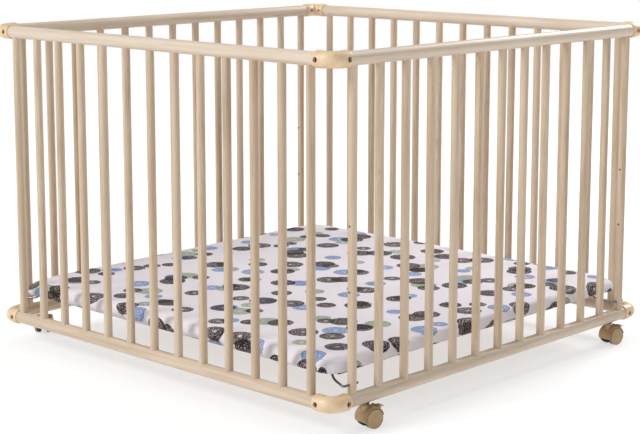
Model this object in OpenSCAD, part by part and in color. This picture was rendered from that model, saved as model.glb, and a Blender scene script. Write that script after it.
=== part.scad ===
// Square wooden playpen on castors: four barred panels joined by moulded corner elbows,
// a height-adjustable padded floor held by four wire hooks, and four twin-wheel castors.
// Millimetres, +Z up. The origin is on the ground, under the middle of the square.

/* [Panels] */
// Bars in each side
bars_per_side = 13; // [7:2:17]
// Distance between the axes of two neighbouring bars
bar_pitch = 77; // [60:1:85]
// Distance from the corner point, where two rail axes cross, to the first bar
corner_gap = 56; // [54:1:70]
// Diameter of a bar
bar_d = 18; // [16:0.5:20]
// Diameter of a rail
rail_d = 28; // [26:0.5:32]
// Height of the bottom rail's axis above the ground
bottom_axis_z = 65; // [62:1:68]
// Distance between the top and bottom rail axes
rail_span = 664; // [600:2:700]
// How deep a bar's end sits in its rail, measured past the rail's surface
bar_seat = 12; // [8:1:14]

/* [Corner elbows] */
// Outer diameter of the bend
elbow_d = 33; // [32:0.5:38]
// Outer diameter of the two sockets
socket_d = 34.4; // [33.5:0.1:40]
// Distance from the corner point to a socket's open end
socket_reach = 42; // [40:1:46]
// Radius of the bend, along its axis
bend_r = 21; // [18:0.5:22]
// Distance from the corner point to a socket's bolt
bolt_reach = 30; // [29:0.5:32]
// Diameter of the bolt's hole in the outer wall
bolt_hole_d = 11; // [10.4:0.1:12]

/* [Floor] */
// Side of the square padded floor
mat_side = 996; // [900:1:1000]
// Radius of the floor's corners, seen from above
mat_corner_r = 36; // [30:1:60]
// Thickness of the board with its padding and cover
mat_t = 28; // [24:1:34]
// Height of the floor's upper face in its lowest position
mat_top_z = 141.5; // [138:0.5:146]
// Thickness of the wooden board inside
board_t = 11; // [8:0.5:12]
// Heights of the hook holes in the end bars
hook_levels = [96.7, 280, 409]; // [90:0.1:450]

/* [Hooks] */
// Diameter of the steel wire
wire_d = 5; // [4:0.1:5]
// How far a hook's pin passes beyond the bar's axis
pin_out = 16; // [14:1:18]
// Distance from the bar's axis to the hook's bend, on the pin's other side
pin_back = 25; // [22:1:27]

/* [Castors] */
// Diameter of a castor's wheels
wheel_d = 40; // [38:1:41]
// Distance over the outer faces of the two wheels
wheels_w = 40; // [36:1:42]
// Distance from the swivel axis back to the axle
trail = 11; // [10.5:0.5:12]
// Turn of the two right-hand castors about their stems, from trailing towards +Y
right_turn = -10; // [-180:1:180]
// Turn of the two left-hand castors
left_turn = 43; // [-180:1:180]

/* [Hidden] */

$fn = 64;
e = 1;                       // overshoot of a cutting tool past the face it cuts

// Colours
wood = [0.80, 0.70, 0.58];
bar_wood = [0.76, 0.65, 0.51];
beige = [0.80, 0.68, 0.50];
tan_plastic = [0.67, 0.56, 0.42];
fabric = [0.88, 0.85, 0.88];
steel = [0.30, 0.32, 0.34];
dark = [0.10, 0.09, 0.09];
brass = [0.72, 0.60, 0.32];
board_wood = [0.62, 0.48, 0.34];

// Square
half_span = (bars_per_side - 1) / 2 * bar_pitch;   // from the middle to an end bar
half = half_span + corner_gap;                     // from the middle to a rail's axis
rail_r = rail_d / 2;
bar_r = bar_d / 2;
top_axis_z = bottom_axis_z + rail_span;
rail_end = half - bend_r;                          // where a rail's end butts in its socket
bar_x = [for (i = [0 : bars_per_side - 1]) -half_span + i * bar_pitch];
seat_z = rail_r - bar_seat;                        // a bar's end, from its rail's axis

// Corner elbows
socket_bore_r = rail_r + 0.1;
lip = 5;                                           // length of a socket's rounded end
bolt_bore_d = 6;
bolt_head_d = 10;
head_face = rail_r - 3.4;                            // the bolt head's outer face, from the axis
head_t = 4.4;
insert_d = 9;
insert_l = 12;

// Floor
mat_bottom_z = mat_top_z - mat_t;
hem_t = 1;                                         // cover turned in under the board
hem_w = 36;
mat_edge_r = 7;                                    // rounding of the padded edge
board_gap = 0.4;
board_side = mat_side - 20;
board_z = mat_bottom_z + hem_t;
board_corner_r = mat_corner_r - 10;

// Hooks: a pin through the end bar, a rising leg, and a run in a saddle under the floor
wire_r = wire_d / 2;
pin_play = 0.16;                                   // on the diameter of a bar's hook hole
hole_d = wire_d + pin_play;
pin_tip = 0.8;                                     // chamfer of the pin's end
pin_end_y = -bar_r - 5;                            // where the pin becomes the leg
leg_r = wire_r - 0.06;
wire_sides = 14;
bend_steps = 6;
saddle_web = 1.6;
run_in = 52;                                       // from the rail's axis in to the hook's run
run_len = 48.5;
run_z = mat_bottom_z - saddle_web - wire_r - 0.3;
run_rise = run_z - hook_levels[0];
saddle_w = 17;
saddle_l = 28;
saddle_h = 8.4;
saddle_slot = wire_d + 0.8;
saddle_in = 26.5;                                  // from the run's start to the saddle's middle
saddle_clear = 18;                                 // further in at the back, where hooks pull inward
function saddle_at(sy) = saddle_in + (sy < 0 ? 0 : saddle_clear);
saddle_ear = 9;                                    // how far the screw flange stands out
saddle_screw_in = 4.5;                             // from the saddle's end to a screw

// Castors
wheel_r = wheel_d / 2;
castor_y = half_span - bar_pitch / 2;              // the swivel axis, midway between two bars
face_z = bottom_axis_z - rail_r + 1.4;             // flat spot-faced into the rail's underside
flange_d = 17;
flange_t = 2.4;
sleeve_d = 12;
sleeve_h = 14;
stem_d = 8;
stem_top = 11;                                     // the stem's end above the flat
fit = 0.1;                                         // running fit on a diameter
hood_gap = 1.4;
hood_t = 2;
hood_in = wheel_r + hood_gap;
hood_out = hood_in + hood_t;
hood_w = wheels_w - 2;
boss_d = 12.6;
boss_top = face_z - flange_t - 3.6;
boss_low = wheel_r + 4.4;                          // underside of the boss, above the ground
clip_d = 11;
clip_t = 1.6;
web_t = 5;
axle_d = 4;
cap_in = wheels_w / 2 - 5.4;                       // inner face of a wheel's disc
hub_in = boss_d / 2 + 0.7;                         // inner face of a wheel's hub
tread_t = 3.4;
hood_short = 14;                                   // degrees the hood stops short of level, behind
hood_front = 14;                                   // degrees it reaches past level, in front

// Brake pedals, about a pin across the hood's rear shoulder
pedal_angle = 50;                                  // the pin's place round the axle
pedal_reach = hood_out + 2.6;                      // the pin's distance from the axle
pedal_w = 20;
pedal_pin_d = 2.4;
pedal_barrel_d = 5.2;
lug_d = 5.4;
lug_w = 2;
lug_gap = 0.7;
cam_t = 4;
cam_reach = pedal_reach - wheel_r - cam_t / 2 - 0.4;
pad_w = 12;
pad_len = 15;
pad_t = 2.2;
pad_slope = 6;
pad_arch_r = 20;
pad_rise = 2.4;                                    // crown of the pad above the pin's axis
pedal_y = pedal_reach * cos(pedal_angle);
pedal_z = pedal_reach * sin(pedal_angle);

// Places the children of one side in turn: 0 front, 1 right, 2 back, 3 left
module on_side(k) {
    rotate([0, 0, 90 * k]) translate([0, -half, 0]) children();
}

// A cylinder along X, from x = from to x = to
module x_rod(d, from, to) {
    translate([from, 0, 0]) rotate([0, 90, 0]) cylinder(d = d, h = to - from);
}

// A cylinder along Y, from y = from to y = to
module y_rod(d, from, to) {
    translate([0, from, 0]) rotate([-90, 0, 0]) cylinder(d = d, h = to - from);
}

// ---- Panels -------------------------------------------------------------------------------

// A round rail. inward is +1 for a bottom rail, whose bars stand on it, and -1 for a top rail
module rail(k, z, inward) {
    color(wood) on_side(k) translate([0, 0, z]) difference() {
        x_rod(rail_d, -rail_end, rail_end);
        for (x = bar_x) translate([x, 0, inward > 0 ? seat_z : -rail_r - e])
            cylinder(d = bar_d, h = bar_seat + e);
        for (s = [-1, 1]) translate([s * (half - bolt_reach), 0, 0]) {
            y_rod(bolt_hole_d, -rail_r - e, -head_face + head_t);
            y_rod(bolt_bore_d, -rail_r - e, rail_r + e);
            y_rod(insert_d, 0, rail_r + e);
        }
    }
}

// The same rail with sockets for two castors bored into its underside
module castor_rail(k) {
    color(wood) difference() {
        rail(k, bottom_axis_z, 1);
        on_side(k) for (s = [-1, 1]) translate([s * castor_y, 0, face_z]) {
            translate([0, 0, -rail_r]) cylinder(d = flange_d + 0.4, h = rail_r);
            cylinder(d = sleeve_d, h = sleeve_h);
        }
    }
}

module bars(k, with_holes) {
    color(bar_wood) on_side(k) for (x = bar_x) difference() {
        translate([x, 0, bottom_axis_z + seat_z])
            cylinder(d = bar_d, h = rail_span - 2 * seat_z);
        if (with_holes && abs(x) > half_span - 1)
            for (z = hook_levels) translate([0, 0, z]) x_rod(hole_d, x - bar_d, x + bar_d);
    }
}

// ---- Corner elbows ------------------------------------------------------------------------

// Half of a socket's section: a tube whose open end is rounded in to the rail
module socket_section() {
    steps = 8;
    wall = socket_d / 2 - socket_bore_r;
    polygon(concat(
        [[socket_bore_r, 0], [elbow_d / 2, 0], [socket_d / 2, 4]],
        [for (i = [0 : steps]) let (a = 90 * i / steps)
            [socket_bore_r + 0.4 + (wall - 0.4) * cos(a),
             socket_reach - bend_r - lip + lip * sin(a)]],
        [[socket_bore_r, socket_reach - bend_r]]
    ));
}

// One elbow about its corner point, with its arms along -X and +Y
module elbow_body() {
    difference() {
        union() {
            translate([-bend_r, bend_r, 0]) rotate([0, 0, -90])
                rotate_extrude(angle = 90) translate([bend_r, 0]) circle(d = elbow_d);
            translate([-bend_r, 0, 0]) rotate([0, -90, 0]) rotate_extrude() socket_section();
            translate([0, bend_r, 0]) rotate([-90, 0, 0]) rotate_extrude() socket_section();
        }
        translate([-bolt_reach, 0, 0]) y_rod(bolt_hole_d, -socket_d, 0);
        translate([-bolt_reach, 0, 0]) y_rod(bolt_bore_d, 0, socket_d);
        translate([0, bolt_reach, 0]) x_rod(bolt_hole_d, 0, socket_d);
        translate([0, bolt_reach, 0]) x_rod(bolt_bore_d, -socket_d, 0);
    }
}

// Corners in turn: 0 front right, 1 back right, 2 back left, 3 front left
module elbow(k, z) {
    color(beige) rotate([0, 0, 90 * k]) translate([half, -half, z]) elbow_body();
}

// Repeats its children at every bolt, whose head faces -Y, away from the pen
module at_bolts() {
    for (k = [0 : 3], z = [bottom_axis_z, top_axis_z], s = [-1, 1])
        on_side(k) translate([s * (half - bolt_reach), 0, z]) children();
}

module elbow_bolts() {
    color(dark) at_bolts() difference() {
        union() {
            y_rod(bolt_head_d, -head_face, -head_face + head_t);
            y_rod(bolt_bore_d, -head_face + head_t - e, rail_r - 3);
        }
        translate([0, -head_face - e, 0]) rotate([-90, 0, 0])
            cylinder(d = 5, h = 3 + e, $fn = 6);
    }
}

module bolt_inserts() {
    color(brass) at_bolts() difference() {
        y_rod(insert_d, rail_r - 1.5 - insert_l, rail_r - 1.5);
        y_rod(bolt_bore_d, -e, rail_r + e);
    }
}

// ---- Floor --------------------------------------------------------------------------------

// A square plate with round corners
module plate(side, r, h) {
    s = side / 2 - r;
    linear_extrude(h) union() {
        square([side, 2 * s], center = true);
        square([2 * s, side], center = true);
        for (x = [-s, s], y = [-s, s]) translate([x, y]) circle(r);
    }
}

// Where the run of the hook at end sy starts and which way it goes, along Y from the end bar
function run_start(sy) = sy < 0 ? -0.1 * pin_back : -1.5 * pin_back;
function run_way(sy) = sy < 0 ? 1 : -1;

// Repeats its children at the middle of each saddle, on the board's underside
module at_saddles() {
    for (sx = [-1, 1], sy = [-1, 1]) translate([
        sx * (half - run_in),
        sy * half_span + run_start(sy) + run_way(sy) * saddle_at(sy),
        mat_bottom_z
    ])
        rotate([0, 0, sx > 0 ? 0 : 180]) children();
}

// Repeats its children at the two screws of each saddle
module at_saddle_screws() {
    at_saddles() for (s = [-1, 1])
        translate([-saddle_w / 2 - saddle_ear / 2, s * (saddle_l / 2 - saddle_screw_in), 0])
            children();
}

// Foam and cover round the board, with the cover's edge turned in underneath
module play_mat() {
    color(fabric) difference() {
        translate([0, 0, mat_bottom_z]) union() {
            translate([0, 0, mat_edge_r]) plate(mat_side, mat_corner_r, mat_t - 2 * mat_edge_r);
            plate(mat_side - mat_edge_r, mat_corner_r - mat_edge_r / 2, mat_t);
        }
        translate([0, 0, board_z - board_gap / 2])
            plate(board_side + board_gap, board_corner_r, board_t + board_gap);
        translate([0, 0, mat_bottom_z - e])
            plate(board_side - 2 * hem_w, board_corner_r, hem_t + 2 * e);
        at_saddle_screws() translate([0, 0, -e]) cylinder(d = 4.4, h = hem_t + 2 * e);
    }
}

module floor_board() {
    color(board_wood) difference() {
        translate([0, 0, board_z]) plate(board_side, board_corner_r, board_t);
        at_saddle_screws() translate([0, 0, -e]) cylinder(d = 3.6, h = 9 + e);
    }
}

// Moulded saddles under the floor, each with a slot that drops over a hook's run
module hook_saddles() {
    color(dark) difference() {
        at_saddles() {
            translate([-saddle_w / 2, -saddle_l / 2, -saddle_h])
                cube([saddle_w, saddle_l, saddle_h]);
            translate([-saddle_w / 2 - saddle_ear, -saddle_l / 2, -3.2])
                cube([saddle_ear + e, saddle_l, 3.2]);
        }
        at_saddles() translate([-saddle_slot / 2, -saddle_l, -saddle_h - e])
            cube([saddle_slot, 2 * saddle_l, saddle_h - saddle_web + e]);
        at_saddle_screws() translate([0, 0, -saddle_h]) cylinder(d = 3.6, h = 2 * saddle_h);
    }
}

module saddle_screws() {
    color(steel) at_saddle_screws() {
        translate([0, 0, -5]) cylinder(d = 7, h = 1.8);
        translate([0, 0, -3.3]) cylinder(d = 3.6, h = 11);
    }
}

// ---- Hooks --------------------------------------------------------------------------------

// Points that round the corner b of a route a, b, c, starting and ending cut from b
function rounded(a, b, c, cut) =
    let (p = b + cut * (a - b) / norm(a - b), q = b + cut * (c - b) / norm(c - b))
    [for (i = [0 : bend_steps]) let (t = i / bend_steps)
        (1 - t) * (1 - t) * p + 2 * t * (1 - t) * b + t * t * q];

// A ring of wire round point i of a route
function wire_ring(route, i) =
    let (
        way = route[min(i + 1, len(route) - 1)] - route[max(i - 1, 0)],
        across = cross(way, [0, 0, 1]) / norm(cross(way, [0, 0, 1])),
        up = cross(across, way) / norm(way)
    )
    [for (j = [0 : wire_sides - 1]) let (a = 360 * j / wire_sides)
        route[i] + leg_r * (cos(a) * across + sin(a) * up)];

// A closed tube along a route
module wire(route) {
    rings = len(route);
    last = (rings - 1) * wire_sides;
    polyhedron(
        points = [for (i = [0 : rings - 1]) each wire_ring(route, i)],
        faces = concat(
            [[for (j = [0 : wire_sides - 1]) wire_sides - 1 - j]],
            [for (i = [0 : rings - 2], j = [0 : wire_sides - 1])
                let (k = i * wire_sides, n = (j + 1) % wire_sides)
                    [k + j, k + n, k + wire_sides + n, k + wire_sides + j]],
            [[for (j = [0 : wire_sides - 1]) last + j]]
        )
    );
}

// The hook at side sx and end sy, about its pin's axis. Its run goes away from the corner
module hook(sx, sy) {
    start = [0, pin_end_y + 3, 0];
    bend = [0, -pin_back, 0];
    dip = [-0.7 * run_in, 0.6 * run_start(sy) - 0.4 * pin_back, 0.35 * run_rise];
    turn = [-run_in, run_start(sy), run_rise];
    finish = turn + [0, run_way(sy) * run_len, 0];
    color(steel) translate([sx * half, sy * half_span, hook_levels[0]])
        mirror([sx > 0 ? 0 : 1, 0, 0]) {
            y_rod(wire_d, pin_end_y, pin_out - pin_tip);
            translate([0, pin_out - pin_tip, 0]) rotate([-90, 0, 0])
                cylinder(r1 = wire_r, r2 = wire_r - pin_tip, h = pin_tip);
            wire(concat(
                [start],
                rounded(start, bend, dip, 6.5),
                rounded(bend, dip, turn, 7),
                rounded(dip, turn, finish, 6),
                [finish]
            ));
        }
}

// ---- Castors ------------------------------------------------------------------------------

// Repeats its children at the four swivel axes, on the ground
module at_castors() {
    for (sx = [-1, 1], sy = [-1, 1]) translate([sx * half, sy * castor_y, 0]) children();
}

// Moves its children, modelled round the axle, to the castor at side sx and end sy
module at_axle(sx, sy) {
    translate([sx * half, sy * castor_y, wheel_r])
        rotate([0, 0, sx > 0 ? right_turn : left_turn]) translate([0, trail, 0]) children();
}

module castor_sockets() {
    color(dark) at_castors() difference() {
        union() {
            translate([0, 0, face_z - flange_t]) cylinder(d = flange_d, h = flange_t);
            translate([0, 0, face_z - e]) cylinder(d = sleeve_d, h = sleeve_h + e);
        }
        translate([0, 0, face_z - flange_t - e])
            cylinder(d = stem_d, h = stem_top + flange_t + e);
    }
}

module castor_stems() {
    color(steel) at_castors() {
        translate([0, 0, boss_low - clip_t - 0.3]) cylinder(d = clip_d, h = clip_t);
        translate([0, 0, boss_low - clip_t])
            cylinder(d = stem_d, h = face_z + stem_top - boss_low + clip_t);
    }
}

// A wedge of the Y-Z plane between two angles about the axle, as a cutting tool along X
module wedge(from, to, r, w) {
    steps = 4;
    rotate([90, 0, 90]) translate([0, 0, -w / 2]) linear_extrude(w) polygon(concat(
        [[0, 0]],
        [for (i = [0 : steps]) let (a = from + (to - from) * i / steps) r * [cos(a), sin(a)]]
    ));
}

// The hood round the tops of both wheels, with its web, swivel boss and axle hole
module hood(sx, sy, with_brake) {
    color(tan_plastic) at_axle(sx, sy) difference() {
        union() {
            difference() {
                union() {
                    x_rod(2 * hood_out, -hood_w / 2 + 2, hood_w / 2 - 2);
                    x_rod(2 * hood_out - 2, -hood_w / 2, hood_w / 2);
                }
                x_rod(2 * hood_in, -hood_w / 2 - e, -web_t / 2);
                x_rod(2 * hood_in, web_t / 2, hood_w / 2 + e);
                wedge(180 + hood_front, 360 + hood_short, 2 * hood_out, 2 * hood_w);
            }
            translate([0, -trail, boss_low - wheel_r]) cylinder(d = boss_d, h = boss_top - boss_low);
            x_rod(10, -hub_in + 0.6, hub_in - 0.6);
            if (with_brake)
                for (s = [-1, 1]) translate([s * (pedal_w / 2 + lug_gap + lug_w / 2), 0, 0])
                    pedal_lug();
        }
        translate([0, -trail, boss_low - wheel_r - e]) cylinder(d = stem_d + fit, h = 4 * wheel_r);
        translate([0, -trail, boss_low - wheel_r - 4 - clip_t])
            cylinder(d = clip_d + 1.2, h = 4 + clip_t);
        x_rod(axle_d, -hood_w, hood_w);
        if (with_brake)
            rotate([pedal_angle, 0, 0]) translate([-pedal_w / 2 - 0.5, hood_in - 3, -4.4])
                cube([pedal_w + 1, 9, 8.8]);
    }
    if (with_brake)
        color(tan_plastic) at_axle(sx, sy) translate([0, pedal_y, pedal_z])
            x_rod(pedal_pin_d, -pedal_w / 2 - lug_gap - lug_w, pedal_w / 2 + lug_gap + lug_w);
}

// A lug on the hood's shoulder that holds one end of the pedal's pin
module pedal_lug() {
    translate([0, pedal_y, pedal_z]) x_rod(lug_d, -lug_w / 2, lug_w / 2);
    rotate([pedal_angle, 0, 0]) translate([-lug_w / 2, hood_in + 0.6, -lug_d / 2])
        cube([lug_w, pedal_reach - hood_in - 0.6, lug_d]);
}

module axle(sx, sy) {
    color(steel) at_axle(sx, sy) x_rod(axle_d, -wheels_w / 2 + 3, wheels_w / 2 - 3);
}

// A wheel's disc and hub. out is +1 for the wheel on +X and -1 for the other
module wheel(sx, sy, out) {
    color(tan_plastic) at_axle(sx, sy) rotate([0, out * 90, 0]) difference() {
        rotate_extrude() polygon([
            [0, hub_in], [6, hub_in], [6, cap_in - 1.5], [wheel_r - tread_t, cap_in - 1.5],
            [wheel_r - tread_t, cap_in], [wheel_r - 0.3, cap_in], [wheel_r - 0.3, wheels_w / 2 - 1.2],
            [wheel_r - 1.2, wheels_w / 2 - 0.3], [wheel_r - 2.4, wheels_w / 2 - 0.3],
            [wheel_r - 3.2, wheels_w / 2 - 0.9], [10, wheels_w / 2 - 0.2], [0, wheels_w / 2]
        ]);
        translate([0, 0, hub_in - e]) cylinder(d = axle_d + fit, h = wheels_w / 2 - 2.7 - hub_in + e);
    }
}

// The soft ring that a wheel rolls on
module tread(sx, sy, out) {
    color(dark) at_axle(sx, sy) rotate([0, out * 90, 0]) rotate_extrude() polygon([
        [wheel_r - tread_t, hub_in + 0.6], [wheel_r - 0.8, hub_in + 0.6], [wheel_r, hub_in + 1.6],
        [wheel_r, cap_in - 0.6], [wheel_r - 0.6, cap_in], [wheel_r - tread_t, cap_in]
    ]);
}

// Side profile of a pedal's pad: an arched band of even thickness
module pad_profile() {
    steps = 10;
    sweep = asin(pad_len / 2 / pad_arch_r);
    top = [for (i = [0 : steps]) (2 * i / steps - 1) * sweep];
    under = [for (i = [steps : -1 : 0]) top[i]];
    translate([pad_len / 2, pad_rise - pad_arch_r]) polygon(concat(
        [for (a = top) pad_arch_r * [sin(a), cos(a)]],
        [for (a = under) (pad_arch_r - pad_t) * [sin(a), cos(a)]]
    ));
}

// A brake pedal: a barrel on the pin, a cam over both treads, and an arched pad to step on
module brake(sx, sy) {
    color(beige) at_axle(sx, sy) translate([0, pedal_y, pedal_z]) difference() {
        union() {
            x_rod(pedal_barrel_d, -pedal_w / 2, pedal_w / 2);
            rotate([pedal_angle - 180, 0, 0]) translate([0, cam_reach, 0])
                x_rod(cam_t, -pedal_w / 2 + 0.4, pedal_w / 2 - 0.4);
            rotate([-pad_slope, 0, 0]) translate([-pad_w / 2, 0, 0])
                rotate([90, 0, 90]) linear_extrude(pad_w) pad_profile();
        }
        x_rod(pedal_pin_d + fit, -pedal_w, pedal_w);
    }
}

// ---- Nodes --------------------------------------------------------------------------------

rail(0, top_axis_z, -1);  // front_top_rail
rail(1, top_axis_z, -1);  // right_top_rail
rail(2, top_axis_z, -1);  // back_top_rail
rail(3, top_axis_z, -1);  // left_top_rail
rail(0, bottom_axis_z, 1);  // front_bottom_rail
castor_rail(1);  // right_bottom_rail
rail(2, bottom_axis_z, 1);  // back_bottom_rail
castor_rail(3);  // left_bottom_rail
bars(0, false);  // front_bars
bars(1, true);  // right_bars
bars(2, false);  // back_bars
bars(3, true);  // left_bars
elbow(0, top_axis_z);  // top_elbow_front_right
elbow(1, top_axis_z);  // top_elbow_back_right
elbow(2, top_axis_z);  // top_elbow_back_left
elbow(3, top_axis_z);  // top_elbow_front_left
elbow(0, bottom_axis_z);  // bottom_elbow_front_right
elbow(1, bottom_axis_z);  // bottom_elbow_back_right
elbow(2, bottom_axis_z);  // bottom_elbow_back_left
elbow(3, bottom_axis_z);  // bottom_elbow_front_left
elbow_bolts();
bolt_inserts();
play_mat();
floor_board();
hook_saddles();
saddle_screws();
hook(1, -1);  // hook_front_right
hook(1, 1);  // hook_back_right
hook(-1, 1);  // hook_back_left
hook(-1, -1);  // hook_front_left
castor_sockets();
castor_stems();
hood(1, -1, true);  // hood_front_right
hood(1, 1, true);  // hood_back_right
hood(-1, 1, false);  // hood_back_left
hood(-1, -1, false);  // hood_front_left
axle(1, -1);  // axle_front_right
axle(1, 1);  // axle_back_right
axle(-1, 1);  // axle_back_left
axle(-1, -1);  // axle_front_left
wheel(1, -1, 1);  // outer_wheel_front_right
wheel(1, 1, 1);  // outer_wheel_back_right
wheel(-1, 1, -1);  // outer_wheel_back_left
wheel(-1, -1, -1);  // outer_wheel_front_left
wheel(1, -1, -1);  // inner_wheel_front_right
wheel(1, 1, -1);  // inner_wheel_back_right
wheel(-1, 1, 1);  // inner_wheel_back_left
wheel(-1, -1, 1);  // inner_wheel_front_left
tread(1, -1, 1);  // outer_tread_front_right
tread(1, 1, 1);  // outer_tread_back_right
tread(-1, 1, -1);  // outer_tread_back_left
tread(-1, -1, -1);  // outer_tread_front_left
tread(1, -1, -1);  // inner_tread_front_right
tread(1, 1, -1);  // inner_tread_back_right
tread(-1, 1, 1);  // inner_tread_back_left
tread(-1, -1, 1);  // inner_tread_front_left
brake(1, -1);  // brake_front_right
brake(1, 1);  // brake_back_right
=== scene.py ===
import math

import bpy
from mathutils import Euler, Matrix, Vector, noise


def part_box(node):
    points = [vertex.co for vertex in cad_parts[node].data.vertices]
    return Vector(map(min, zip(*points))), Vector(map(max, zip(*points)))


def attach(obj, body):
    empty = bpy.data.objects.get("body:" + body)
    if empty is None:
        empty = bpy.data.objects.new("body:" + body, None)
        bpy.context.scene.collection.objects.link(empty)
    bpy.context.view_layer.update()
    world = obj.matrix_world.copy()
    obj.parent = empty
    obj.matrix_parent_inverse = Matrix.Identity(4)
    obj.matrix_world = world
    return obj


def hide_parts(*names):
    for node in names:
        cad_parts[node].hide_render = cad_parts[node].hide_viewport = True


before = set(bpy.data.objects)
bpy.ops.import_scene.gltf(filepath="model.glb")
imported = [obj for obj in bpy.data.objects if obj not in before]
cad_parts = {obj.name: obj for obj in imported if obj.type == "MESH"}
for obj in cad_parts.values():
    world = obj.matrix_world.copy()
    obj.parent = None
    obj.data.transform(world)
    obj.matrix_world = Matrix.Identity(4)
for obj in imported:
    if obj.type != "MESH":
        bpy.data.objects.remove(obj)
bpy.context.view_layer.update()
CORNERS = ("front_right", "back_right", "back_left", "front_left")
SIDES = ("front", "right", "back", "left")


def srgb(r, g, b):
    """A linear colour from display values of 0 to 255."""
    return tuple(
        (c / 255 / 12.92) if c / 255 <= 0.04045 else ((c / 255 + 0.055) / 1.055) ** 2.4
        for c in (r, g, b)
    ) + (1.0,)


# ---- Node graphs --------------------------------------------------------------------------


class Graph:
    """A material's node tree, with short ways to add the nodes used here."""

    def __init__(self, name):
        self.mat = bpy.data.materials.new(name)
        self.mat.use_nodes = True
        self.tree = self.mat.node_tree
        self.shader = next(n for n in self.tree.nodes if n.type == "BSDF_PRINCIPLED")

    def put(self, socket, value):
        if isinstance(value, bpy.types.NodeSocket):
            self.tree.links.new(value, socket)
        elif value is not None:
            socket.default_value = value

    def node(self, kind, inputs, out=0, **props):
        n = self.tree.nodes.new(kind)
        for k, v in props.items():
            setattr(n, k, v)
        for k, v in inputs.items():
            self.put(n.inputs[k], v)
        return n.outputs[out]

    def object_coords(self):
        return self.node("ShaderNodeTexCoord", {}, "Object")

    def attribute(self, name):
        return self.node("ShaderNodeAttribute", {}, "Vector", attribute_name=name)

    def math(self, op, a, b=None, c=None):
        n = self.tree.nodes.new("ShaderNodeMath")
        n.operation = op
        for i, v in enumerate((a, b, c)):
            self.put(n.inputs[i], v)
        return n.outputs[0]

    def vec(self, op, a, b=None, scale=None):
        n = self.tree.nodes.new("ShaderNodeVectorMath")
        n.operation = op
        self.put(n.inputs[0], a)
        self.put(n.inputs[1], b)
        if scale is not None:
            self.put(n.inputs["Scale"], scale)
        return n.outputs[0]

    def split(self, v):
        n = self.tree.nodes.new("ShaderNodeSeparateXYZ")
        self.put(n.inputs[0], v)
        return n.outputs

    def noise(self, v, scale, detail=2.0, rough=0.5, warp=0.0, dims="3D"):
        return self.node(
            "ShaderNodeTexNoise",
            {"Vector": v, "Scale": scale, "Detail": detail, "Roughness": rough, "Distortion": warp},
            noise_dimensions=dims,
        )

    def mix(self, fac, a, b, blend="MIX"):
        n = self.tree.nodes.new("ShaderNodeMix")
        n.data_type, n.blend_type = "RGBA", blend
        self.put(n.inputs[0], fac)
        self.put(n.inputs[6], a)
        self.put(n.inputs[7], b)
        return n.outputs[2]

    def step(self, v, lo, hi, a=0.0, b=1.0):
        """v mapped smoothly from lo..hi to a..b."""
        return self.node(
            "ShaderNodeMapRange",
            {"Value": v, "From Min": lo, "From Max": hi, "To Min": a, "To Max": b},
            interpolation_type="SMOOTHSTEP",
        )

    def ramp(self, v, stops):
        n = self.tree.nodes.new("ShaderNodeValToRGB")
        self.put(n.inputs[0], v)
        while len(n.color_ramp.elements) < len(stops):
            n.color_ramp.elements.new(0.5)
        for e, (pos, col) in zip(n.color_ramp.elements, stops):
            e.position, e.color = pos, col
        return n.outputs[0]

    def bump(self, height, strength, distance):
        return self.node(
            "ShaderNodeBump", {"Height": height, "Strength": strength, "Distance": distance}
        )

    def finish(self, **sockets):
        for k, v in sockets.items():
            self.put(self.shader.inputs[k.replace("_", " ")], v)
        return self.mat


# ---- Materials ----------------------------------------------------------------------------


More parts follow.
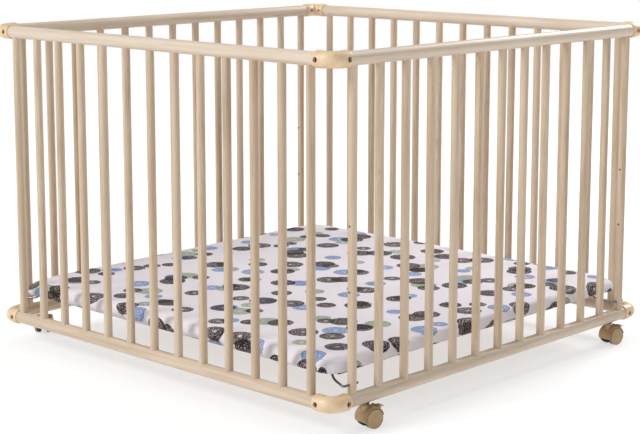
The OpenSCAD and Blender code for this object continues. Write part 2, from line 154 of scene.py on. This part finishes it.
def wood(name, along, pale, deep, dark, group=None, figure=1.0):
    """Lacquered beech with its grain along an axis (0, 1 or 2).

    group is (axis, first, pitch) of bars that share one node: each gets its own piece of the tree.
    """
    g = Graph(name)
    p = g.object_coords()
    xyz = g.split(p)
    if group:
        axis, first, pitch = group
        number = g.math("ROUND", g.math("DIVIDE", g.math("SUBTRACT", xyz[axis], first), pitch))
        seed = g.math("ADD", number, len(name) * 3.7)
    else:
        seed = g.math("ADD", float(sum(ord(c) for c in name) % 97), 0.5)
    lot = g.node("ShaderNodeTexWhiteNoise", {"W": seed}, 1, noise_dimensions="1D")
    lots = g.split(lot)
    # coordinates with the grain drawn out along the piece
    shrink = [1.0, 1.0, 1.0]
    shrink[along] = 0.035
    drawn = g.vec("MULTIPLY", g.vec("ADD", p, g.vec("SCALE", lot, scale=3.0)), tuple(shrink))
    broad = g.noise(drawn, 95, 2.0, 0.55, 0.3)
    rings = g.noise(drawn, 420, 3.0, 0.6, 0.9)
    shrink[along] = 0.012
    fibre = g.noise(g.vec("MULTIPLY", p, tuple(shrink)), 2600, 2.0, 0.6)
    shrink[along] = 0.11
    fleck = g.noise(g.vec("MULTIPLY", p, tuple(shrink)), 1500, 1.0, 0.5)
    shrink[along] = 1.0
    cloud = g.noise(p, 9, 1.0, 0.5)
    # how strongly this piece is figured
    strong = g.step(lots[1], 0.55, 1.0, 0.35 * figure, 1.25 * figure)
    lines = g.math("MULTIPLY", g.math("SUBTRACT", rings, 0.5), strong)
    tone = g.math("MULTIPLY_ADD", g.math("SUBTRACT", broad, 0.5), 1.1, 0.42)
    tone = g.math("ADD", tone, g.math("MULTIPLY", lines, 1.5))
    tone = g.math("ADD", tone, g.math("MULTIPLY", g.math("SUBTRACT", fibre, 0.5), 0.30))
    tone = g.math("ADD", tone, g.math("MULTIPLY", g.math("SUBTRACT", cloud, 0.5), 0.25))
    tone = g.math("ADD", tone, g.math("MULTIPLY", g.math("SUBTRACT", lots[0], 0.5), 0.42))
    colour = g.ramp(tone, ((0.0, pale), (0.5, deep), (1.0, dark)))
    flecks = g.step(fleck, 0.66, 0.74, 0.0, 0.22)
    colour = g.mix(flecks, colour, dark)
    rough = g.math("MULTIPLY_ADD", fibre, 0.16, 0.36)
    normal = g.bump(g.math("ADD", fibre, g.math("MULTIPLY", rings, 0.6)), 0.12, 0.0003)
    return g.finish(
        Base_Color=colour,
        Roughness=rough,
        Normal=normal,
        Specular_IOR_Level=0.38,
        Coat_Weight=0.12,
        Coat_Roughness=0.22,
    )


def moulded(name, colour, shade, rough, coat=0.0):
    """Moulded plastic: slightly cloudy, with a fine spark-eroded grain and rubbed high spots."""
    g = Graph(name)
    p = g.object_coords()
    cloud = g.noise(p, 42, 3.0, 0.6)
    fine = g.noise(p, 2400, 2.0, 0.6)
    rub = g.noise(p, 160, 3.0, 0.65)
    base = g.mix(g.step(cloud, 0.3, 0.75), colour, shade)
    base = g.mix(g.step(fine, 0.60, 0.78, 0.0, 0.10), base, shade)
    roughness = g.math("ADD", rough - 0.10, g.math("MULTIPLY", rub, 0.2))
    normal = g.bump(g.math("ADD", fine, g.math("MULTIPLY", rub, 0.25)), 0.25, 0.0001)
    return g.finish(
        Base_Color=base, Roughness=roughness, Normal=normal, Coat_Weight=coat, Coat_Roughness=0.3
    )


def metal(name, colour, worn, rough, metallic=0.92):
    """Plated or blackened steel, dulled in patches."""
    g = Graph(name)
    p = g.object_coords()
    patch = g.noise(p, 190, 4.0, 0.62)
    fine = g.noise(p, 2200, 2.0, 0.6)
    base = g.mix(g.step(patch, 0.45, 0.72), colour, worn)
    roughness = g.math("ADD", rough, g.math("MULTIPLY", g.math("SUBTRACT", patch, 0.4), 0.35))
    normal = g.bump(fine, 0.18, 0.00008)
    return g.finish(Base_Color=base, Roughness=roughness, Normal=normal, Metallic=metallic)


def rubber(name):
    """Dark tread rubber, dusty in patches."""
    g = Graph(name)
    p = g.object_coords()
    dust = g.noise(p, 260, 3.0, 0.65)
    fine = g.noise(p, 3000, 1.0)
    base = g.mix(g.step(dust, 0.48, 0.75, 0.0, 0.5), srgb(30, 27, 25), srgb(84, 74, 62))
    return g.finish(
        Base_Color=base,
        Roughness=g.math("MULTIPLY_ADD", dust, 0.25, 0.5),
        Normal=g.bump(fine, 0.3, 0.0001),
    )


def hardboard(name):
    """The bare underside of the floor board: pressed fibres with a faint cloudy tone."""
    g = Graph(name)
    p = g.object_coords()
    fibres = g.noise(p, 700, 4.0, 0.7, 1.2)
    cloud = g.noise(p, 14, 2.0)
    tone = g.math("ADD", g.math("MULTIPLY", fibres, 0.7), g.math("MULTIPLY", cloud, 0.3))
    base = g.ramp(
        tone, ((0.2, srgb(112, 78, 50)), (0.5, srgb(147, 108, 72)), (0.8, srgb(176, 138, 98)))
    )
    return g.finish(
        Base_Color=base,
        Roughness=g.math("MULTIPLY_ADD", fibres, 0.2, 0.6),
        Normal=g.bump(fibres, 0.3, 0.0002),
    )


def dots(g, p, pitch, keep, small, large, seed, ink, paper):
    """The paper's colour with a layer of scribbled discs, one in each kept cell of a loose grid."""
    cell = {
        "Vector": g.vec("ADD", p, (seed, seed * 0.7, 0.0)),
        "Scale": 1.0 / pitch,
        "Randomness": 0.7,
    }
    n = g.tree.nodes.new("ShaderNodeTexVoronoi")
    n.voronoi_dimensions, n.feature = "2D", "F1"
    for k, v in cell.items():
        g.put(n.inputs[k], v)
    chance = g.split(n.outputs["Color"])
    away = g.vec("SUBTRACT", cell["Vector"], n.outputs["Position"])
    ax = g.split(away)
    wobble = g.noise(cell["Vector"], 120, 2.0, 0.6, dims="2D")
    r = g.math("MULTIPLY", n.outputs["Distance"], pitch)
    r = g.math("ADD", r, g.math("MULTIPLY", g.math("SUBTRACT", wobble, 0.5), 0.0052))
    size = g.step(chance[1], 0.0, 1.0, small, large)
    inside = g.math("SUBTRACT", size, r)
    disc = g.step(inside, -0.0005, 0.0009)
    disc = g.math("MULTIPLY", disc, g.math("LESS_THAN", chance[0], keep))
    # the scribble: round strokes of a crayon that let the paper show through, and a bare middle
    turn = g.math("ARCTAN2", ax[1], ax[0])
    tangle = g.noise(cell["Vector"], 95, 2.0, 0.6, 0.6, dims="2D")
    coil = g.math("ADD", g.math("MULTIPLY", r, 2 * math.pi / 0.0066), turn)
    coil = g.math("ADD", coil, g.math("MULTIPLY", tangle, 11.0))
    cross = g.math("ADD", g.math("MULTIPLY", ax[0], 620.0), g.math("MULTIPLY", ax[1], 350.0))
    cross = g.math("ADD", cross, g.math("MULTIPLY", tangle, 14.0))
    crumb = g.noise(cell["Vector"], 520, 2.0, 0.7, dims="2D")
    gap = g.step(g.math("SINE", coil), 0.45, 1.0, 0.0, 0.72)
    slash = g.step(g.math("SINE", cross), 0.8, 1.0, 0.0, 0.6)
    gap = g.math("MAXIMUM", gap, g.math("MULTIPLY", slash, g.step(chance[2], 0.3, 0.6)))
    gap = g.math("MULTIPLY", gap, g.step(crumb, 0.36, 0.56, 0.15, 1.0))
    gap = g.math("MULTIPLY", gap, g.step(inside, 0.0012, 0.004, 0.1, 1.0))
    middle = g.math("MULTIPLY", g.step(r, 0.0060, 0.0020, 0.0, 0.8), g.step(chance[2], 0.35, 0.5))
    bare = g.math("MAXIMUM", gap, middle)
    amount = g.math("MULTIPLY", disc, g.math("SUBTRACT", 1.0, bare))
    shade = g.mix(g.step(crumb, 0.35, 0.65), ink[0], ink[1])
    return g.mix(amount, paper, shade)


def mat_cloth(name):
    """The mat's coated cotton: pale, printed all over with scribbled dots, with a plain weave."""
    g = Graph(name)
    p = g.attribute("cloth")
    cloud = g.noise(p, 6, 3.0, 0.6, dims="2D")
    base = g.mix(cloud, srgb(218, 212, 220), srgb(226, 221, 226))
    green = (srgb(157, 169, 150), srgb(122, 140, 117))
    blue = (srgb(138, 160, 196), srgb(86, 115, 164))
    brown = (srgb(62, 39, 33), srgb(27, 14, 12))
    base = dots(g, p, 0.156, 0.95, 0.0190, 0.0305, 3.1, green, base)
    base = dots(g, p, 0.142, 0.95, 0.0175, 0.0290, 7.7, blue, base)
    base = dots(g, p, 0.126, 0.97, 0.0195, 0.0320, 1.3, brown, base)
    base = dots(g, p, 0.129, 0.97, 0.0195, 0.0315, 11.9, brown, base)
    xy = g.split(p)
    thread = 2 * math.pi / 0.0009
    warp = g.math("SINE", g.math("MULTIPLY", xy[0], thread))
    weft = g.math("SINE", g.math("MULTIPLY", xy[1], thread))
    weave = g.math("MULTIPLY", warp, weft)
    slub = g.noise(p, 900, 2.0, 0.6, dims="2D")
    crease = g.noise(p, 38, 3.0, 0.55, 0.7, dims="2D")
    height = g.math("ADD", g.math("MULTIPLY", weave, 0.25), g.math("MULTIPLY", slub, 0.5))
    normal = g.bump(height, 0.35, 0.00012)
    normal = g.node(
        "ShaderNodeBump",
        {"Height": crease, "Strength": 0.35, "Distance": 0.0016, "Normal": normal},
    )
    return g.finish(
        Base_Color=base,
        Roughness=g.math("MULTIPLY_ADD", slub, 0.2, 0.42),
        Normal=normal,
        Specular_IOR_Level=0.16,
    )


def dress(node, mat):
    """Gives a CAD node its material."""
    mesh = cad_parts[node].data
    mesh.materials.clear()
    mesh.materials.append(mat)


RAIL_TONES = (srgb(217, 203, 186), srgb(200, 181, 160), srgb(170, 146, 120))
BAR_TONES = (srgb(211, 194, 172), srgb(192, 170, 145), srgb(152, 126, 99))
BAR_R = 0.009
BAR_GAPS = 12

for side, along in zip(SIDES, (0, 1, 0, 1)):
    dress(side + "_top_rail", wood("wood_top_" + side, along, *RAIL_TONES, figure=0.6))
    dress(side + "_bottom_rail", wood("wood_bottom_" + side, along, *RAIL_TONES, figure=0.6))
    lo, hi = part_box(side + "_bars")
    pitch = (hi[along] - lo[along] - 2 * BAR_R) / BAR_GAPS
    dress(
        side + "_bars",
        wood("wood_bars_" + side, 2, *BAR_TONES, group=(along, lo[along] + BAR_R, pitch)),
    )

elbow_plastic = moulded("elbow_plastic", srgb(222, 195, 158), srgb(208, 178, 140), 0.40, coat=0.15)
castor_plastic = moulded("castor_plastic", srgb(178, 150, 114), srgb(160, 132, 96), 0.44)
socket_plastic = moulded("socket_plastic", srgb(48, 44, 40), srgb(36, 33, 31), 0.5)
saddle_plastic = moulded("saddle_plastic", srgb(58, 54, 52), srgb(44, 41, 40), 0.5)
bolt_black = metal("bolt_black", srgb(22, 15, 12), srgb(34, 25, 20), 0.55, 0.3)
insert_brass = metal("insert_brass", srgb(176, 150, 90), srgb(140, 116, 66), 0.34)
plated = metal("plated_steel", srgb(150, 150, 152), srgb(118, 118, 120), 0.36)
wire_steel = metal("wire_steel", srgb(124, 125, 128), srgb(80, 81, 84), 0.2)
tread_rubber = rubber("tread_rubber")
dress("floor_board", hardboard("floor_board"))
for corner in CORNERS:
    dress("top_elbow_" + corner, elbow_plastic)
    dress("bottom_elbow_" + corner, elbow_plastic)
    dress("hood_" + corner, castor_plastic)
    dress("axle_" + corner, plated)
    for which in ("outer", "inner"):
        dress(f"{which}_wheel_{corner}", castor_plastic)
        dress(f"{which}_tread_{corner}", tread_rubber)
for corner in ("front_right", "back_right"):
    dress("brake_" + corner, castor_plastic)
dress("elbow_bolts", bolt_black)
dress("bolt_inserts", insert_brass)
dress("hook_saddles", saddle_plastic)
dress("saddle_screws", plated)
dress("castor_sockets", socket_plastic)
dress("castor_stems", plated)


# ---- Meshes -------------------------------------------------------------------------------


def make(name, verts, faces, mat):
    """A smooth-shaded object of one mesh and one material."""
    mesh = bpy.data.meshes.new(name)
    mesh.from_pydata([tuple(v) for v in verts], [], faces)
    mesh.validate()
    mesh.materials.append(mat)
    ob = bpy.data.objects.new(name, mesh)
    bpy.context.collection.objects.link(ob)
    mesh.polygons.foreach_set("use_smooth", [True] * len(mesh.polygons))
    return ob


def tube(name, route, radius, mat, sides=20):
    """A round tube with closed, slightly rounded ends along a list of points."""
    pts = [Vector(p) for p in route]
    head, tail = (pts[0] - pts[1]).normalized(), (pts[-1] - pts[-2]).normalized()
    rounds = [(0.0, 0.25), (0.12, 0.7), (0.3, 1.0)]
    rings = [(pts[0] + head * radius * (0.3 - i), radius * s) for i, s in rounds]
    rings += [(p, radius) for p in pts[1:-1]]
    rings += [(pts[-1] + tail * radius * (0.3 - i), radius * s) for i, s in reversed(rounds)]
    centres = [c for c, _ in rings]
    verts, faces = [], []
    side = None
    for i, (c, r) in enumerate(rings):
        way = (centres[min(i + 1, len(rings) - 1)] - centres[max(i - 1, 0)]).normalized()
        if side is None:
            side = way.orthogonal().normalized()
        side = (side - way * side.dot(way)).normalized()
        up = way.cross(side)
        for j in range(sides):
            a = 2 * math.pi * j / sides
            verts.append(c + r * (math.cos(a) * side + math.sin(a) * up))
    for i in range(len(rings) - 1):
        for j in range(sides):
            k = (j + 1) % sides
            faces.append((i * sides + j, i * sides + k, (i + 1) * sides + k, (i + 1) * sides + j))
    faces.append(tuple(reversed(range(sides))))
    last = (len(rings) - 1) * sides
    faces.append(tuple(last + j for j in range(sides)))
    return make(name, verts, faces, mat)


def rounded_route(points, radii, steps=9):
    """The points with each inner corner replaced by a smooth bend that starts radii[i] before it."""
    pts = [Vector(p) for p in points]
    out = [pts[0]]
    for a, b, c, cut in zip(pts, pts[1:], pts[2:], radii):
        p, q = b + (a - b).normalized() * cut, b + (c - b).normalized() * cut
        for i in range(steps + 1):
            t = i / steps
            out.append((1 - t) ** 2 * p + 2 * t * (1 - t) * b + t**2 * q)
    return out + [pts[-1]]


# ---- Hooks --------------------------------------------------------------------------------

WIRE_R = 0.0025
PIN_OUT, PIN_BACK, RUN_IN, RUN_LEN = 0.016, 0.025, 0.052, 0.048
for corner in CORNERS:
    lo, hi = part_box("hook_" + corner)
    inward = -1.0 if "right" in corner else 1.0
    axis_x = (hi[0] - WIRE_R) if inward < 0 else (lo[0] + WIRE_R)
    axis_z, run_z = lo[2] + WIRE_R, hi[2] - WIRE_R
    # the run under the floor goes away from the corner: forwards at the back, back at the front
    front = "front" in corner
    run_start = -0.1 * PIN_BACK if front else -1.5 * PIN_BACK
    run_end = run_start + (RUN_LEN if front else -RUN_LEN)
    bar_y = hi[1] - (run_end + 0.0005 if front else PIN_OUT)
    rise = run_z - axis_z
    spots = [
        (0, PIN_OUT, 0),
        (0, -PIN_BACK, 0),
        (0.7 * RUN_IN, 0.6 * run_start - 0.4 * PIN_BACK, 0.35 * rise),
        (RUN_IN, run_start, rise),
        (RUN_IN, run_end, rise),
    ]
    route = rounded_route(
        [(axis_x + inward * a, bar_y + b, axis_z + c) for a, b, c in spots], (0.0075, 0.008, 0.007)
    )
    wire = tube("wire_hook_" + corner, route, WIRE_R - 0.00003, wire_steel)
    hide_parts("hook_" + corner)
    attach(wire, "hook_" + corner)


# ---- Padded floor -------------------------------------------------------------------------

mat_lo, mat_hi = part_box("play_mat")
board_lo, board_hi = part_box("floor_board")
SIDE = (mat_hi[0] - mat_lo[0]) / 2
CORNER_R = 0.036
EDGE_R = 0.011
HEM = 0.036
TOP, BOTTOM = mat_hi[2], mat_lo[2]


def outline(x, y, half=SIDE, r=CORNER_R):
    """How far (x, y) lies inside the floor's rounded square, and the outward direction there."""
    qx, qy = abs(x) - (half - r), abs(y) - (half - r)
    sx, sy = math.copysign(1, x), math.copysign(1, y)
    if qx > 0 and qy > 0:
        d = math.hypot(qx, qy)
        return r - d, (sx * qx / d, sy * qy / d)
    if qx > qy:
        return r - qx, (sx, 0.0)
    return r - qy, (0.0, sy)


def slab(name, inset, thick_cut, mat):
    """A closed slab with rounded edges, a little inside the padded floor's CAD solid."""
    half, r = SIDE - inset, CORNER_R - inset
    top, low = TOP - thick_cut, BOTTOM + 0.0004
    rings, n = [], 16
    profile = []
    for i in range(7):
        a = -math.pi / 2 + math.pi / 2 * i / 6
        profile.append((-0.006 + 0.006 * math.cos(a), low + 0.006 + 0.006 * math.sin(a)))
    for i in range(9):
        a = math.pi / 2 * i / 8
        profile.append((-EDGE_R + EDGE_R * math.cos(a), top - EDGE_R + EDGE_R * math.sin(a)))
    verts = []
    for out, z in profile:
        ring = []
        for k, (cx, cy) in enumerate(((1, -1), (1, 1), (-1, 1), (-1, -1))):
            for i in range(n + 1):
                a = math.pi / 2 * (k - 1 + i / n)
                rr = r + out
                ring.append(
                    ((half - r) * cx + rr * math.cos(a), (half - r) * cy + rr * math.sin(a), z)
                )
        rings.append(len(verts))
        verts += ring
    count = 4 * (n + 1)
    faces = []
    for a, b in zip(rings, rings[1:]):
        for j in range(count):
            k = (j + 1) % count
            faces.append((a + j, a + k, b + k, b + j))
    faces.append(tuple(reversed(range(rings[0], rings[0] + count))))
    faces.append(tuple(range(rings[-1], rings[-1] + count)))
    return make(name, verts, faces, mat)


def modify(ob, kind, **settings):
    """Adds a modifier with the given settings."""
    m = ob.modifiers.new(kind.lower(), kind)
    for k, v in settings.items():
        setattr(m, k, v)
    return m


def bake_modifiers(ob):
    """Applies an object's modifiers to its mesh."""
    done = bpy.data.meshes.new_from_object(
        ob.evaluated_get(bpy.context.evaluated_depsgraph_get())
    )
    old = ob.data
    ob.modifiers.clear()
    ob.data = done
    bpy.data.meshes.remove(old)


def puff(ob, frames, pressure, cap):
    """Blows the cloth up softly round its pinned underside, never moving a point by more than cap."""
    rest = [v.co.copy() for v in ob.data.vertices]
    held = ob.vertex_groups.new(name="held")
    for v in ob.data.vertices:
        inside, _ = outline(v.co.x, v.co.y)
        if v.co.z < BOTTOM + 0.003 and inside > 0.008:
            held.add([v.index], 1.0, "REPLACE")
        else:
            held.add([v.index], 0.0, "REPLACE")
    cloth = modify(ob, "CLOTH")
    s = cloth.settings
    s.quality = 4
    s.mass = 0.25
    s.use_pressure = True
    s.uniform_pressure_force = pressure
    s.tension_stiffness = s.compression_stiffness = 25
    s.shear_stiffness = 12
    s.bending_stiffness = 0.6
    s.shrink_min = -0.012
    s.vertex_group_mass = "held"
    s.effector_weights.gravity = 0.0
    cloth.point_cache.frame_start, cloth.point_cache.frame_end = 1, frames
    for f in range(1, frames + 1):
        bpy.context.scene.frame_set(f)
    bake_modifiers(ob)
    bpy.context.scene.frame_set(1)
    for v, was in zip(ob.data.vertices, rest):
        move = v.co - was
        if move.length > cap:
            v.co = was + move.normalized() * cap


cover = slab("mat_cover", 0.0018, 0.0022, mat_cloth("mat_cloth"))
modify(cover, "REMESH", mode="VOXEL", voxel_size=0.0075)
bake_modifiers(cover)
puff(cover, 18, 2.0, 0.005)
modify(cover, "SUBSURF", levels=1, render_levels=1)
bake_modifiers(cover)

# soft unevenness: slight quilting of the foam, a pull at the hem, and the hem folded under the board
for v in cover.data.vertices:
    inside, (nx, ny) = outline(v.co.x, v.co.y)
    if v.co.z < BOTTOM + 0.006 and inside > 0.006:
        v.co.z = BOTTOM + 0.0004
    if v.co.z > BOTTOM + 0.0025:
        lump = noise.noise(Vector((v.co.x * 7, v.co.y * 7, 1.7)))
        v.co.z += 0.0007 * lump * min(1.0, inside / 0.03)
        edge = max(0.0, 1 - inside / 0.02)
        low = 1 - min(1.0, max(0.0, (v.co.z - BOTTOM) / (TOP - BOTTOM)))
        run = v.co.x * abs(ny) + v.co.y * abs(nx)
        pull = noise.noise(Vector((run * 24, nx * 3 + ny * 5, 4.1)))
        pull += 0.5 * noise.noise(Vector((run * 70, nx * 3 + ny * 5, 9.3)))
        slip = (0.0016 * pull - 0.0006) * edge * (0.35 + low)
        v.co.x += nx * slip
        v.co.y += ny * slip
    elif inside > HEM + 0.008:
        v.co.z = board_lo[2] + 0.004

cloth_at = cover.data.attributes.new("cloth", "FLOAT_VECTOR", "POINT")
for v in cover.data.vertices:
    inside, (nx, ny) = outline(v.co.x, v.co.y)
    drop = max(0.0, TOP - v.co.z) if inside < 0.03 or v.co.z > (TOP + BOTTOM) / 2 else TOP - BOTTOM
    under = 2 * max(0.0, inside) if v.co.z < BOTTOM + 0.002 else 0.0
    reach = drop + under
    cloth_at.data[v.index].vector = (v.co.x + nx * reach, v.co.y + ny * reach, 0.0)
cover.data.polygons.foreach_set("use_smooth", [True] * len(cover.data.polygons))
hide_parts("play_mat")
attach(cover, "floor")


# ---- Stage, light and camera --------------------------------------------------------------


def soft_sun(name, towards, spread, strength):
    """A broad soft light from the direction towards, spread over an angle in degrees."""
    data = bpy.data.lights.new(name, "SUN")
    data.energy, data.angle = strength, math.radians(spread)
    ob = bpy.data.objects.new(name, data)
    bpy.context.collection.objects.link(ob)
    ob.rotation_euler = Vector(towards).to_track_quat("Z", "Y").to_euler()


def softbox(name, where, aim, size, power):
    """A rectangular area light at where, turned towards aim."""
    data = bpy.data.lights.new(name, "AREA")
    data.shape, data.size, data.size_y = "RECTANGLE", size[0], size[1]
    data.energy = power
    ob = bpy.data.objects.new(name, data)
    bpy.context.collection.objects.link(ob)
    ob.location = where
    ob.rotation_euler = (Vector(aim) - Vector(where)).to_track_quat("-Z", "Y").to_euler()


g = Graph("pale_floor")
haze = g.noise(g.object_coords(), 1.5, 2.0)
g.finish(
    Base_Color=g.mix(haze, srgb(170, 170, 170), srgb(173, 173, 173)),
    Roughness=0.9,
    Specular_IOR_Level=0.1,
    Emission_Color=(1.0, 1.0, 1.0, 1.0),
    Emission_Strength=0.62,
)
REACH = 90
corners = [(-REACH, -REACH, 0), (REACH, -REACH, 0), (REACH, REACH, 0), (-REACH, REACH, 0)]
ground = make("ground", corners, [(0, 1, 2, 3)], g.mat)

world = bpy.data.worlds.new("studio")
bpy.context.scene.world = world
world.use_nodes = True
sky = next(n for n in world.node_tree.nodes if n.type == "BACKGROUND")
sky.inputs[0].default_value = (1.0, 1.0, 1.0, 1.0)
# white walls round the horizon, and a dimmer ceiling
tree = world.node_tree
direction = tree.nodes.new("ShaderNodeTexCoord")
height = tree.nodes.new("ShaderNodeSeparateXYZ")
dim = tree.nodes.new("ShaderNodeMapRange")
dim.interpolation_type = "SMOOTHSTEP"
for socket, value in (("From Min", 0.07), ("From Max", 0.16), ("To Min", 1.0), ("To Max", 0.25)):
    dim.inputs[socket].default_value = value
tree.links.new(direction.outputs["Generated"], height.inputs[0])
tree.links.new(height.outputs["Z"], dim.inputs["Value"])
tree.links.new(dim.outputs[0], sky.inputs[1])
soft_sun("key", (-0.5, -1.0, 0.8), 30, 2.0)
soft_sun("fill", (0.8, -0.6, 0.3), 50, 0.42)
soft_sun("top", (-0.4, 0.1, 2.0), 60, 0.8)
softbox("glint", (0.1, 4.2, 3.0), (0.4, 0.2, 0.7), (2.4, 1.2), 150)

bpy.context.scene.view_settings.view_transform = "Standard"
lens = bpy.data.cameras.new("camera")
lens.lens = 91.3
lens.sensor_width = 36
lens.shift_y = -0.09
camera = bpy.data.objects.new("camera", lens)
bpy.context.collection.objects.link(camera)
camera.location = (2.564, -2.705, 1.0135)
camera.rotation_euler = Euler((math.pi / 2 - 0.1557, 0.0, 0.7599), "XYZ")
bpy.context.scene.camera = camera
